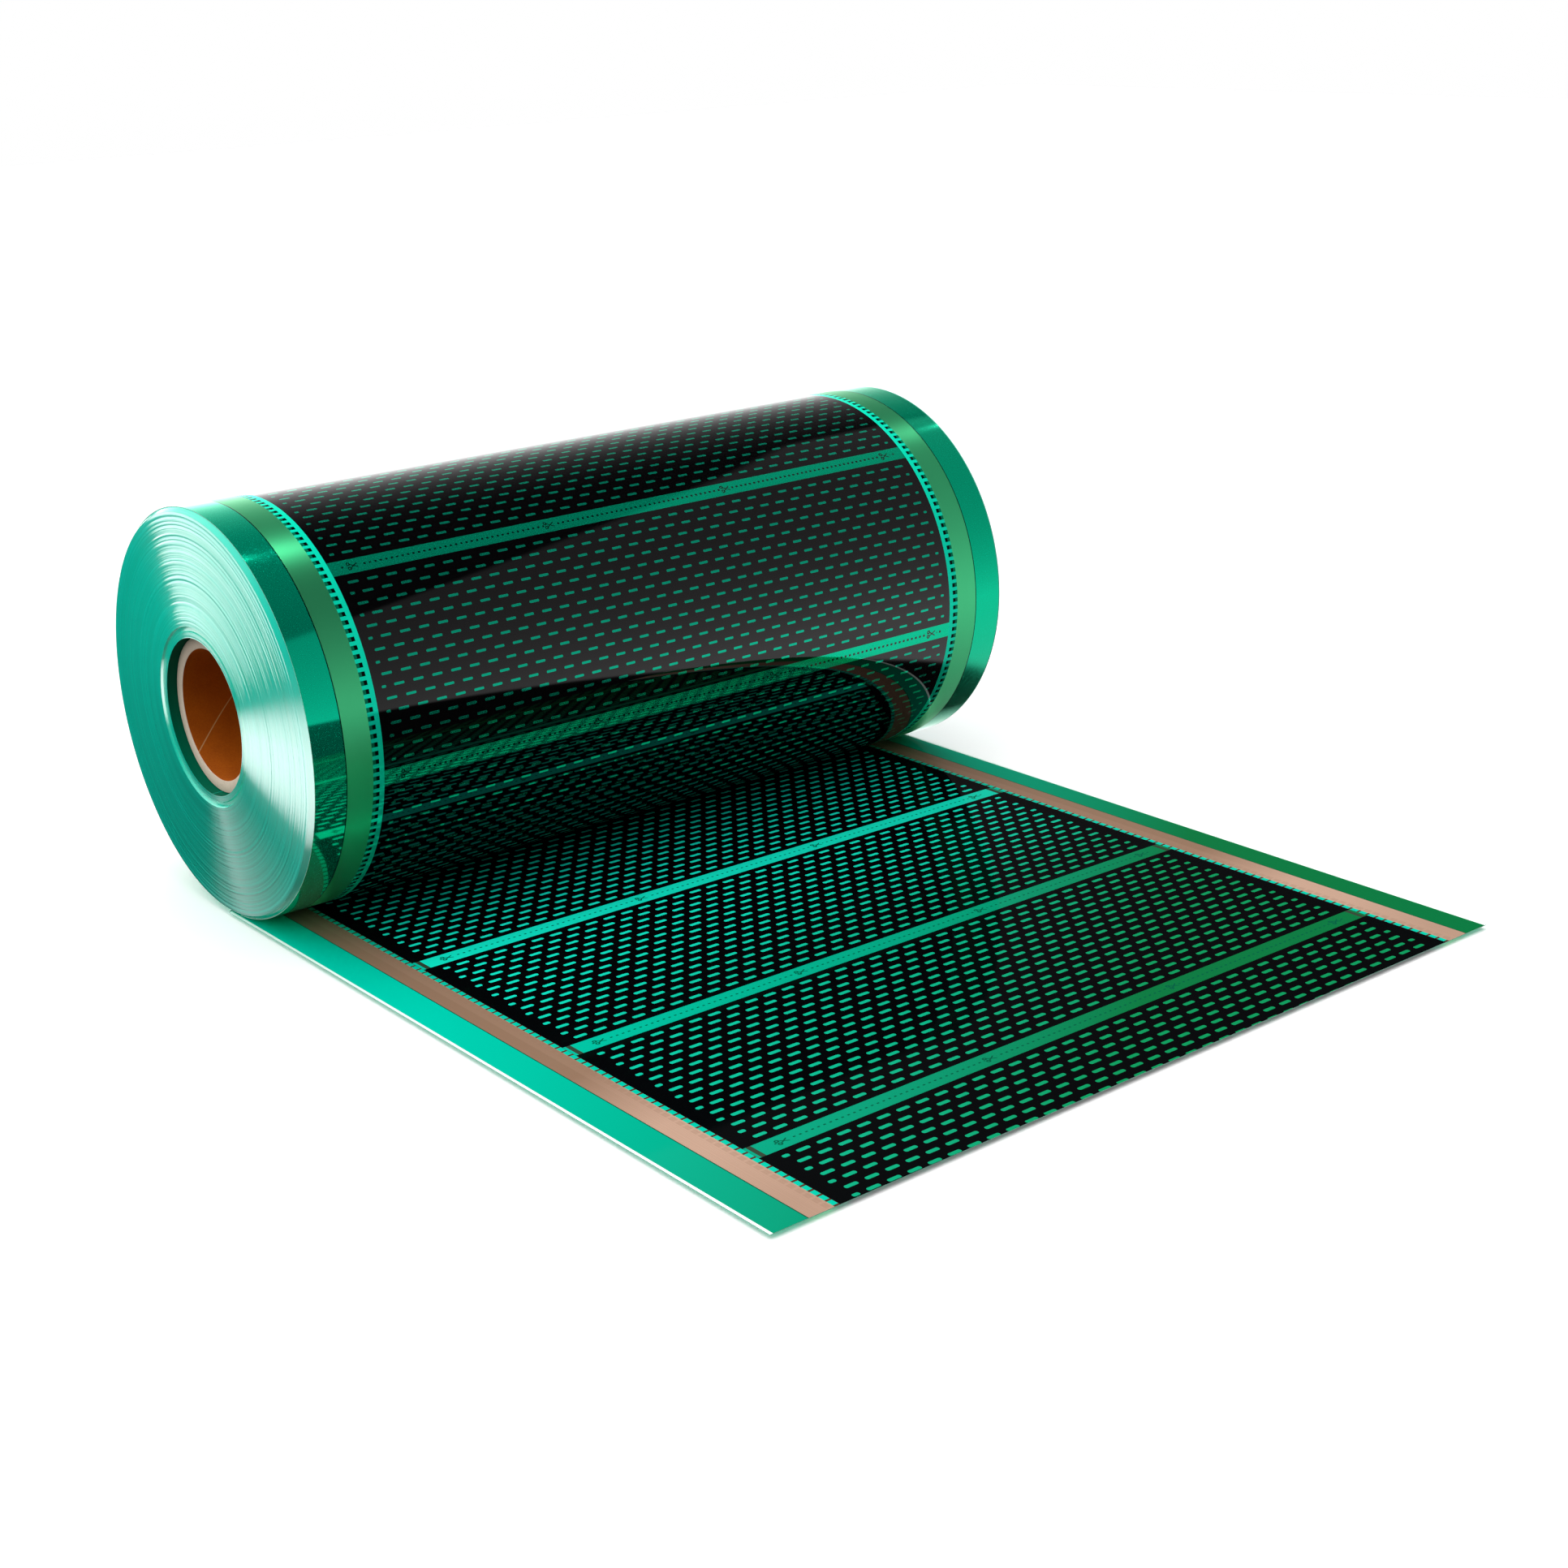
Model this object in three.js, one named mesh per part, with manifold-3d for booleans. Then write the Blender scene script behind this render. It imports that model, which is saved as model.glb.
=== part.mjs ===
// A roll of carbon heating film, lying on its side on a level floor.
// The film is wound on a paper core, and its outer end is unrolled flat in front of the roll.
//
// Frame: millimetres. +X runs along the roll's axis, the film's free end points along -Y, +Z is up.
// The origin is at floor level, in the middle of the object's length and width.

import * as THREE from 'three';
import { mergeVertices } from 'three/addons/utils/BufferGeometryUtils.js';
import Module from 'manifold-3d';

// The film: one laminated sheet, sold 500 mm wide.
const FILM_WIDTH = 500;
const FILM_THICKNESS = 0.34;
const TAIL_LENGTH = 500;

// The winding.
const ROLL_RADIUS = 118.5;
const ROLL_SIDES = 64;

// The paper core: a spiral-wound tube with the common three inch bore.
const CORE_BORE_RADIUS = 38.1;
const CORE_WALL = 7;
const CORE_SIDES = 48;
const CORE_CLEARANCE = 0.3;
const CORE_RECESS = 4;

// Turns that slipped sideways while the film was wound. The winding drifts towards -X on its way
// down to the proud turn, and the few turns between that one and the core sit straight again.
const TURN_DRIFT = 2.5;
const INNER_TURNS_DEPTH = 4;
const PROUD_TURNS_DEPTH = 1.6;

// Bands of turns that slipped back a little, which show as rings on both ends of the roll.
const BAND_COUNT = 4;
const BAND_SLIP = 0.5;
const BAND_SLOPE = 0.6;
const BAND_SHARE = 0.4;
const BAND_MARGIN = 9;

const coreRadius = CORE_BORE_RADIUS + CORE_WALL;
const coreLength = FILM_WIDTH - 2 * CORE_RECESS;
const boreRadius = coreRadius + CORE_CLEARANCE;
const proudInner = boreRadius + INNER_TURNS_DEPTH;
const proudOuter = proudInner + PROUD_TURNS_DEPTH;

const filmFinish = new THREE.MeshStandardMaterial({
  color: 0x0b6f55,
  roughness: 0.2,
  metalness: 0,
});

const coreFinish = new THREE.MeshStandardMaterial({
  color: 0xb9905f,
  roughness: 0.9,
  metalness: 0,
});

// The circle's corners lie this far out, so that its sides touch the true radius.
function cornerRadius(radius) {
  return radius / Math.cos(Math.PI / ROLL_SIDES);
}

// How far the turn at this radius drifted along the axis, bands left out.
function driftAt(radius) {
  return -TURN_DRIFT * (ROLL_RADIUS - radius) / (ROLL_RADIUS - proudOuter);
}

// Radius and sideways shift of the turns, from the bore outwards.
function turnShifts() {
  const shifts = [
    [boreRadius, 0],
    [proudInner, 0],
    [proudInner + BAND_SLOPE / 2, -TURN_DRIFT],
    [proudOuter, -TURN_DRIFT],
  ];
  const firstBand = proudOuter + BAND_MARGIN;
  const pitch = (ROLL_RADIUS - BAND_MARGIN - firstBand) / BAND_COUNT;
  for (let band = 0; band < BAND_COUNT; band += 1) {
    const inner = firstBand + band * pitch;
    const outer = inner + BAND_SHARE * pitch;
    shifts.push([inner, driftAt(inner)]);
    shifts.push([inner + BAND_SLOPE, driftAt(inner + BAND_SLOPE) + BAND_SLIP]);
    shifts.push([outer - BAND_SLOPE, driftAt(outer - BAND_SLOPE) + BAND_SLIP]);
    shifts.push([outer, driftAt(outer)]);
  }
  shifts.push([ROLL_RADIUS, 0]);
  return shifts;
}

// A closed profile turned about the X axis, with a side of the polygon straight down.
function turnedAboutX(profile, sides) {
  const points = profile.map(([radius, along]) => new THREE.Vector2(radius, along));
  points.push(points[0].clone());
  const geometry = new THREE.LatheGeometry(points, sides, Math.PI / sides);
  geometry.rotateZ(-Math.PI / 2);
  return geometry;
}

// Every turn is one film wide, so both ends of the winding carry the same shifts.
function windingGeometry() {
  const shifts = turnShifts();
  const nearEnd = shifts.map(([radius, shift]) => [cornerRadius(radius), shift - FILM_WIDTH / 2]);
  const farEnd = shifts.map(([radius, shift]) => [cornerRadius(radius), shift + FILM_WIDTH / 2]);
  return turnedAboutX([...nearEnd, ...farEnd.reverse()], ROLL_SIDES);
}

function coreGeometry() {
  const half = coreLength / 2;
  const profile = [
    [CORE_BORE_RADIUS, -half],
    [coreRadius, -half],
    [coreRadius, half],
    [CORE_BORE_RADIUS, half],
  ];
  return turnedAboutX(profile, CORE_SIDES);
}

// The unrolled end leaves the winding at its lowest line and lies flat on the floor.
function tailGeometry() {
  const geometry = new THREE.BoxGeometry(FILM_WIDTH, TAIL_LENGTH, FILM_THICKNESS);
  geometry.translate(0, -TAIL_LENGTH / 2, FILM_THICKNESS / 2);
  return geometry;
}

const wasm = await Module();
wasm.setup();

function toSolid(geometry) {
  const bare = geometry.clone();
  bare.deleteAttribute('normal');
  bare.deleteAttribute('uv');
  const merged = mergeVertices(bare);
  const mesh = new wasm.Mesh({
    numProp: 3,
    vertProperties: new Float32Array(merged.attributes.position.array),
    triVerts: new Uint32Array(merged.index.array),
  });
  mesh.merge();
  return new wasm.Manifold(mesh);
}

function toGeometry(solid) {
  const mesh = solid.getMesh();
  const geometry = new THREE.BufferGeometry();
  geometry.setAttribute('position', new THREE.BufferAttribute(mesh.vertProperties, 3));
  geometry.setIndex(new THREE.BufferAttribute(mesh.triVerts, 1));
  geometry.computeVertexNormals();
  return geometry;
}

// The winding and the unrolled end are one sheet of film.
function filmGeometry() {
  const winding = windingGeometry();
  winding.translate(0, 0, ROLL_RADIUS);
  return toGeometry(toSolid(winding).add(toSolid(tailGeometry())));
}

const film = new THREE.Mesh(filmGeometry(), filmFinish);
film.name = 'heating_film';

const core = new THREE.Mesh(coreGeometry(), coreFinish);
core.name = 'paper_core';
core.position.z = ROLL_RADIUS;

const heatingFilmRoll = new THREE.Group();
heatingFilmRoll.add(film, core);
heatingFilmRoll.position.set(TURN_DRIFT / 2, (TAIL_LENGTH - ROLL_RADIUS) / 2, 0);

export default heatingFilmRoll;
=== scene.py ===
"""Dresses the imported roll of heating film: printed film, turn edges, paper core, studio and camera."""

import logging
import math
import random
from dataclasses import dataclass
from enum import Enum

import bpy
from mathutils import Matrix, Vector


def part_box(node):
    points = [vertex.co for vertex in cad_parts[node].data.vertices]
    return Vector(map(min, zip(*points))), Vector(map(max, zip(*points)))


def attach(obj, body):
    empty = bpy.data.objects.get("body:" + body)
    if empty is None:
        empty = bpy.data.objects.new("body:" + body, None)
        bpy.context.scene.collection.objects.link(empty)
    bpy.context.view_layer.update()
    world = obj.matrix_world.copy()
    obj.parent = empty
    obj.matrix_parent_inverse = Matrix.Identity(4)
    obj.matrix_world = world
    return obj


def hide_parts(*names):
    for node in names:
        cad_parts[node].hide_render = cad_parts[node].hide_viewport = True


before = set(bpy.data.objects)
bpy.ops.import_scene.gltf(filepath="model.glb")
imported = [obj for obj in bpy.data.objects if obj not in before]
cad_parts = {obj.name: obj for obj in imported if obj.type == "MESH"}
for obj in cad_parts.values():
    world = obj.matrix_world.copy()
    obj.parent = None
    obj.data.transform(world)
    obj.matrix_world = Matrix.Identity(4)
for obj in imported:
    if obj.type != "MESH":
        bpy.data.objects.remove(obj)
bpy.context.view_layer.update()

log = logging.getLogger("heating_film")

MM = 0.001
PRINT_MAP = "print"
FILM_WIDTH = 500 * MM
FILM_THICKNESS = 0.34 * MM
CORE_RADIUS = 45.1 * MM
CORE_CLEARANCE = 0.3 * MM
TURN_GAP = 0.02 * MM
SAME_PLACE = 0.001 * MM

Colour = tuple[float, float, float]


def srgb(red: int, green: int, blue: int) -> Colour:
    """Turn a display colour into the linear colour that shaders use.

    Args:
        red: Red, 0 to 255.
        green: Green, 0 to 255.
        blue: Blue, 0 to 255.

    Returns:
        The linear red, green and blue.
    """

    def channel(value: int) -> float:
        """Linear value of one channel."""
        share = value / 255
        return share / 12.92 if share <= 0.04045 else ((share + 0.055) / 1.055) ** 2.4

    return channel(red), channel(green), channel(blue)


@dataclass(frozen=True)
class Stock:
    """The main sizes of the roll, in metres, read from the frame."""

    width: float
    thickness: float
    tail_length: float
    roll_radius: float
    axis_y: float
    edge_x: float
    core_radius: float
    core_length: float
    core_x: float

    @property
    def bore_radius(self) -> float:
        """Radius of the innermost turn."""
        return self.core_radius + CORE_CLEARANCE

    @property
    def winding_radius(self) -> float:
        """Outer radius of the turns under the outermost one."""
        return self.roll_radius - self.thickness - TURN_GAP

    @property
    def middle_x(self) -> float:
        """Middle of the film's width."""
        return self.edge_x - self.width / 2


def stock_from_frame() -> Stock:
    """Read the roll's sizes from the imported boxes.

    Returns:
        The sizes of film and core.
    """
    film_low, film_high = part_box("heating_film")
    core_low, core_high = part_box("paper_core")
    radius = (film_high[2] - film_low[2]) / 2
    axis_y = film_high[1] - radius
    return Stock(
        width=FILM_WIDTH,
        thickness=FILM_THICKNESS,
        tail_length=axis_y - film_low[1],
        roll_radius=radius,
        axis_y=axis_y,
        edge_x=film_high[0],
        core_radius=CORE_RADIUS,
        core_length=core_high[0] - core_low[0],
        core_x=(core_low[0] + core_high[0]) / 2,
    )


class Wire:
    """A shader value that takes Python's operators, each of which adds one Math node."""

    def __init__(self, board: "Board", socket: bpy.types.NodeSocket) -> None:
        """Keep the board and the output socket."""
        self.board = board
        self.socket = socket

    def math(self, operation: str, *others: "Wire | float", clamp: bool = False) -> "Wire":
        """Add a Math node with this value as its first input.

        Args:
            operation: Blender's name of the operation.
            others: The further inputs.
            clamp: Whether the result is kept between 0 and 1.

        Returns:
            The node's output.
        """
        values = dict(enumerate((self, *others)))
        return self.board.node("ShaderNodeMath", {"operation": operation, "use_clamp": clamp}, values)

    def __add__(self, other: "Wire | float") -> "Wire":
        """Sum."""
        return self.math("ADD", other)

    __radd__ = __add__

    def __mul__(self, other: "Wire | float") -> "Wire":
        """Product."""
        return self.math("MULTIPLY", other)

    __rmul__ = __mul__

    def __sub__(self, other: "Wire | float") -> "Wire":
        """Difference."""
        return self.math("SUBTRACT", other)

    def __rsub__(self, other: float) -> "Wire":
        """Difference from a number."""
        return self.math("MULTIPLY_ADD", -1.0, other)

    def __truediv__(self, other: "Wire | float") -> "Wire":
        """Quotient."""
        return self.math("DIVIDE", other)

    def __neg__(self) -> "Wire":
        """Opposite value."""
        return self.math("MULTIPLY", -1.0)

    def __abs__(self) -> "Wire":
        """Size without the sign."""
        return self.math("ABSOLUTE")

    def above(self, edge: "Wire | float", soft: float) -> "Wire":
        """A soft step that is 1 above the edge and 0 below it.

        Args:
            edge: Where the step lies.
            soft: Width of the ramp.

        Returns:
            The step's value.
        """
        return (self - edge).math("MULTIPLY_ADD", 1 / soft, 0.5, clamp=True)

    def below(self, edge: "Wire | float", soft: float) -> "Wire":
        """A soft step that is 1 below the edge and 0 above it."""
        return (self - edge).math("MULTIPLY_ADD", -1 / soft, 0.5, clamp=True)

    def between(self, low: float, high: float, soft: float) -> "Wire":
        """A soft band that is 1 from low to high."""
        return abs(self - (low + high) / 2).below((high - low) / 2, soft)

    def repeat(self, pitch: float) -> "Wire":
        """Distance from the nearest multiple of the pitch, with its sign."""
        return self - (self / pitch).math("ROUND") * pitch


Direction = tuple[Wire, Wire, Wire]


class Board:
    """The node tree of one material, with short ways to add nodes."""

    def __init__(self, name: str) -> None:
        """Make an empty material of this name."""
        self.material = bpy.data.materials.new(name)
        self.material.use_nodes = True
        self.tree = self.material.node_tree
        self.tree.nodes.clear()

    @classmethod
    def of_tree(cls, tree: bpy.types.NodeTree) -> "Board":
        """Use a node tree that exists already.

        Args:
            tree: The tree, which is emptied.

        Returns:
            The board.
        """
        board = cls.__new__(cls)
        board.tree = tree
        tree.nodes.clear()
        return board

    def node(
        self,
        kind: str,
        settings: dict[str, object],
        values: dict[int | str, object],
        output: int | str = 0,
    ) -> Wire:
        """Add a node, set it up and connect it.

        Args:
            kind: Blender's node type.
            settings: Attributes of the node, set first. "stops" fills a colour ramp.
            values: Input sockets by index or name, each a number, a tuple or a wire.
            output: The output that is returned.

        Returns:
            The chosen output.
        """
        made = self.tree.nodes.new(kind)
        for name, value in settings.items():
            if name == "stops":
                fill_ramp(made.color_ramp, value)
            else:
                setattr(made, name, value)
        for key, value in values.items():
            socket = made.inputs[key]
            if isinstance(value, Wire):
                self.tree.links.new(value.socket, socket)
            elif isinstance(value, tuple) and socket.type == "RGBA":
                socket.default_value = (*value, 1.0)
            else:
                socket.default_value = value
        return Wire(self, made.outputs[output])

    def mix(self, share: Wire, plain: "Wire | Colour", other: "Wire | Colour") -> Wire:
        """Mix two colours: plain where the share is 0, the other where it is 1."""
        settings = {"data_type": "RGBA"}
        return self.node("ShaderNodeMix", settings, {0: share, 6: plain, 7: other}, 2)

    def parts(self, vector: Wire) -> Direction:
        """X, Y and Z of a vector."""
        return tuple(self.node("ShaderNodeSeparateXYZ", {}, {0: vector}, axis) for axis in range(3))

    def place(self) -> Direction:
        """X, Y and Z of the object's own coordinates, in metres."""
        return self.parts(self.node("ShaderNodeTexCoord", {}, {}, "Object"))

    def printed(self) -> tuple[Wire, Wire]:
        """Place across and along the film, in millimetres."""
        across, along, _ = self.parts(self.node("ShaderNodeUVMap", {"uv_map": PRINT_MAP}, {}))
        return across / MM, along / MM

    def grain(self, scale: float, detail: float = 2.0, roughness: float = 0.5) -> Wire:
        """Cloudy noise in the object's own coordinates.

        Args:
            scale: Lumps in a metre.
            detail: Finer layers.
            roughness: Share of the finer layers.

        Returns:
            A value around one half.
        """
        here = self.node("ShaderNodeTexCoord", {}, {}, "Object")
        values = {"Vector": here, "Scale": scale, "Detail": detail, "Roughness": roughness}
        return self.node("ShaderNodeTexNoise", {"noise_dimensions": "3D"}, values)

    def lines(self, place: Wire, scale: float, detail: float = 2.0, roughness: float = 0.5) -> Wire:
        """Noise that changes along one value only, for rings and brushed lines.

        Args:
            place: The value that it follows, in metres.
            scale: Lines in a metre.
            detail: Finer layers.
            roughness: Share of the finer layers.

        Returns:
            A value around one half.
        """
        values = {"W": place, "Scale": scale, "Detail": detail, "Roughness": roughness}
        return self.node("ShaderNodeTexNoise", {"noise_dimensions": "1D"}, values)

    def finish(self, values: dict[int | str, object]) -> bpy.types.Material:
        """Add the shader and the output.

        Args:
            values: Inputs of the Principled shader.

        Returns:
            The finished material.
        """
        shader = self.node("ShaderNodeBsdfPrincipled", {}, values)
        self.node_output(shader)
        return self.material

    def node_output(self, shader: Wire) -> None:
        """Connect a shader to the material's output."""
        made = self.tree.nodes.new("ShaderNodeOutputMaterial")
        self.tree.links.new(shader.socket, made.inputs["Surface"])


def fill_ramp(ramp: bpy.types.ColorRamp, stops: list[tuple[float, Colour]]) -> None:
    """Give a colour ramp its stops.

    Args:
        ramp: The ramp to fill.
        stops: Place and colour of each stop.
    """
    while len(ramp.elements) < len(stops):
        ramp.elements.new(1.0)
    for element, (place, colour) in zip(ramp.elements, stops):
        element.position = place
        element.color = (*colour, 1.0)


@dataclass(frozen=True)
class Scissors:
    """The scissors symbol that interrupts a cut line. Millimetres."""

    gap: float = 3.9
    blade_reach: float = 2.6
    blade_slope: float = 0.6
    blade_half: float = 0.42
    grip_back: float = 2.9
    grip_rise: float = 1.5
    grip_radius: float = 0.9
    grip_half: float = 0.4

    def mask(self, run: Wire, rise: Wire, soft: float) -> Wire:
        """Mask of the two blades and the two round grips.

        Args:
            run: Distance from the symbol's middle, across the film.
            rise: Distance from the cut line.
            soft: Width of the soft edge.

        Returns:
            1 on the symbol.
        """
        blades = abs(rise - abs(run) * self.blade_slope).below(self.blade_half, soft)
        blades = blades * abs(run).below(self.blade_reach, soft)
        grip_run = run + self.grip_back
        grip_rise = rise - self.grip_rise
        grip = (grip_run * grip_run + grip_rise * grip_rise).math("SQRT")
        return blades.math("MAXIMUM", abs(grip - self.grip_radius).below(self.grip_half, soft))


@dataclass(frozen=True)
class DashField:
    """The carbon field: rows of bare dashes between cut strips. Millimetres."""

    strip_pitch: float
    strip_place: float
    strip_half: float
    first_row: float
    row_pitch: float
    dash_half: float
    dash_rise: float
    short_half: float
    cut_half: float
    cut_rise: float
    dash_pitch: float
    short_place: float
    strip_reach: float
    cut_pitch: float
    scissors_pitch: float
    skew: float
    skew_change: float
    last_row: int = 15
    full_limit: float = 199.0
    roundness: float = 0.85
    soft: float = 0.14
    scissors: Scissors = Scissors()

    def after_strip(self, across: Wire, along: Wire) -> Wire:
        """Distance past the last strip's centre. The rows lie a touch askew on the film.

        Args:
            across: Place across the print.
            along: Place along the film.

        Returns:
            A distance from 0 to the strip pitch.
        """
        lead = across * (self.skew - along * self.skew_change)
        past = along - lead - self.strip_place
        return past - (past / self.strip_pitch).math("FLOOR") * self.strip_pitch

    def strip_rows(self, past: Wire) -> Wire:
        """Mask of the rows that the bare cut strips take, over the whole width."""
        return past.math("MINIMUM", self.strip_pitch - past).below(self.strip_half, self.soft)

    def dashes(self, across: Wire, past: Wire) -> Wire:
        """Mask of the bare dashes in the carbon.

        Args:
            across: Place across the print.
            past: Distance past the last strip.

        Returns:
            1 on a dash, 0 on carbon.
        """
        row = ((past - self.first_row) / self.row_pitch).math("ROUND")
        row = row.math("MAXIMUM", 0.0).math("MINIMUM", float(self.last_row))
        rise = past - self.first_row - row * self.row_pitch
        full_row = row.math("MODULO", 2.0)
        shift = full_row * 0.5
        cell = (across / self.dash_pitch - shift).math("ROUND") + shift
        centre = cell * self.dash_pitch
        full = self.lozenge(across - centre, rise, self.dash_half)
        full = full * abs(centre).below(self.full_limit, self.soft)
        short = self.lozenge(abs(across) - self.short_place, rise, self.short_half)
        return full.math("MAXIMUM", short * (1 - full_row))

    def lozenge(self, run: Wire, rise: Wire, half: float) -> Wire:
        """Mask of one bar with round ends.

        Args:
            run: Distance from its middle, across the film.
            rise: Distance from its middle, along the film.
            half: Half its length.

        Returns:
            1 inside the bar.
        """
        corner = self.dash_rise * self.roundness
        past_end = (abs(run) - (half - corner)).math("MAXIMUM", 0.0)
        past_side = (abs(rise) - (self.dash_rise - corner)).math("MAXIMUM", 0.0)
        reach = (past_end * past_end + past_side * past_side).math("SQRT")
        return reach.below(corner, self.soft)

    def cut_marks(self, across: Wire, past: Wire) -> Wire:
        """Mask of the dashed cut line and its scissors.

        Args:
            across: Place across the print.
            past: Distance past the last strip.

        Returns:
            1 on the black marks.
        """
        rise = past.math("MINIMUM", self.strip_pitch - past)
        inside = abs(across).below(self.full_limit, self.soft)
        run = (across - self.scissors_pitch / 2).repeat(self.scissors_pitch)
        dash = abs(across.repeat(self.cut_pitch)).below(self.cut_half, self.soft)
        gap = abs(run).above(self.scissors.gap, self.soft)
        line = dash * rise.below(self.cut_rise, self.soft) * gap
        return line.math("MAXIMUM", self.scissors.mask(run, rise, self.soft)) * inside


class Side(Enum):
    """The two faces of the film."""

    INNER = "film_inner_side"
    OUTER = "film_outer_side"


@dataclass(frozen=True)
class EdgeBands:
    """Half-widths at which the bands along the film's edges change, in millimetres."""

    rim: float
    margin: float
    copper_split: float
    copper_end: float
    teeth_end: float
    carbon: float
    tooth_pitch: float
    tooth_half: float
    tooth_reach: float
    offset: float
    stub_end: float = 210.8
    ghost_start: float = 0.9
    ghost_end: float = 3.9
    ghost_share: float = 0.25
    line_half: float = 0.3
    soft: float = 0.14


@dataclass(frozen=True)
class FilmInks:
    """Colours of one side of the film."""

    # greens mix by the drift from bluish to dim and grassy; on the unrolled end this is painted
    # reflection
    green: Colour
    green_far: Colour
    dash: Colour
    dash_far: Colour
    copper: Colour
    # paler copper; on the unrolled end it is also the colour of the painted sheen
    copper_pale_and_sheen: Colour
    tooth: Colour
    tooth_foot: Colour
    tooth_gap: Colour
    line: Colour
    carbon: Colour
    mark: Colour
    stub: Colour
    rim: Colour
    # painted light: a bright green that lightens the field next to the roll, against the roll's shade
    near: Colour | None = None
    painted_light_reach: float = 270.0
    # painted shade: dark green for the inner side where it is wound, which shows on the bore wall
    wound: Colour | None = None


@dataclass(frozen=True)
class PaintedSheen:
    """Painted sheen on the copper strips of the unrolled end. Millimetres along the film."""

    start: float = 352.0
    start_soft: float = 70.0
    fade: float = 452.0
    fade_soft: float = 60.0
    fade_share: float = 0.35
    pale_least: float = 0.1

    def share(self, along: Wire) -> Wire:
        """0 on dull copper, 1 where the painted sheen is strongest."""
        return along.above(self.start, self.start_soft) * (
            1 - along.above(self.fade, self.fade_soft) * self.fade_share)


@dataclass(frozen=True)
class Drift:
    """How the green dims from bluish to grassy over the sheet, by millimetres; painted reflection on the
    unrolled end.
    """

    start: float
    across: float
    along: float

    def share(self, across: Wire, along: Wire) -> Wire:
        """0 where the green is bluish, 1 where it is grassy."""
        return (across * self.across + along * self.along).math("ADD", self.start, clamp=True)


@dataclass(frozen=True)
class Laminate:
    """How the laminate shines: a clear coat over metal-like tinted film and brushed strips."""

    green_metal: float
    copper_metal: float
    clear_roughness: float
    hazy_roughness: float
    copper_roughness: float
    coat: float
    coat_loss: float
    gloss: float
    line_metal: float
    haze_scale: float = 2600.0
    haze_limit: float = 0.68
    haze_soft: float = 0.06


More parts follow.
